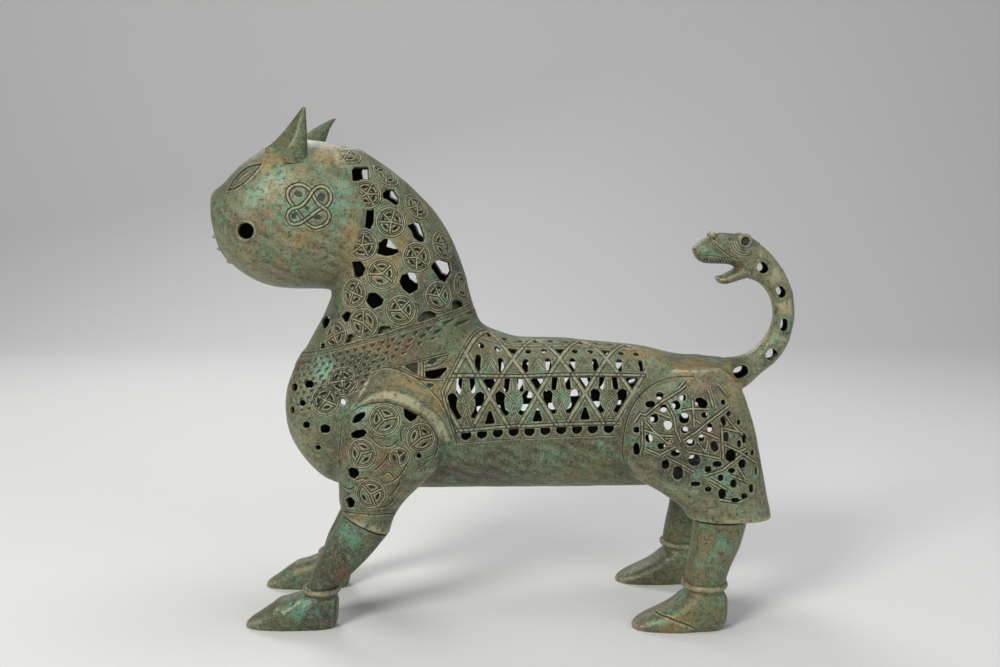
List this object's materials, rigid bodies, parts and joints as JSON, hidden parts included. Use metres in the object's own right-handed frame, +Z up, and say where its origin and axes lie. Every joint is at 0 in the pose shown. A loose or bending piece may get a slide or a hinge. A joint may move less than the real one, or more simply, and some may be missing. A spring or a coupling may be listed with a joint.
{
  "type": "lion incense burner",
  "caption": "Standing lion in pierced cast metal that burns incense inside: its head and neck lift off as a lid over a loose charcoal pan, and smoke leaves through the openwork.",
  "frame": {"origin": "on the ground, under the middle of the whole lion's box", "axes": "+Z up, the lion looks along -X, its left side is at -Y"},
  "size_m": [0.522, 0.1568, 0.4506],
  "materials": {
    "green_bronze": "dark bronze under a mottled green and turquoise patina, worn paler on the ridges",
    "brown_bronze": "brown bronze patina with a little green",
    "sooted_bronze": "dark, dull and sooted"
  },
  "bodies": {
    "body": {"barrel_shell": "green_bronze", "chest_shell": "green_bronze", "left_fore_ankle_ring": "brown_bronze", "left_fore_foot": "green_bronze", "left_fore_shin": "green_bronze", "left_hind_ankle_ring": "brown_bronze", "left_hind_foot": "green_bronze", "left_hind_shin": "green_bronze", "right_fore_ankle_ring": "brown_bronze", "right_fore_foot": "green_bronze", "right_fore_shin": "green_bronze", "right_hind_ankle_ring": "brown_bronze", "right_hind_foot": "green_bronze", "right_hind_shin": "green_bronze", "rump_shell": "green_bronze", "tail": "green_bronze", "tail_head": "brown_bronze"},
    "lid": {"neck_shell": "green_bronze", "neck_spigot": "brown_bronze", "head_shell": "green_bronze", "left_ear": "green_bronze", "right_ear": "green_bronze"},
    "pan": {"charcoal_pan": "sooted_bronze"}
  },
  "joints": [
    {"name": "lid_lift", "type": "slide", "parent": "body", "child": "lid", "axis": [-0.2739, 0, 0.9618], "range_m": [0, 0.15]},
    {"name": "pan_lift", "type": "slide", "parent": "body", "child": "pan", "axis": [0, 0, 1], "range_m": [0, 0.15]}
  ]
}
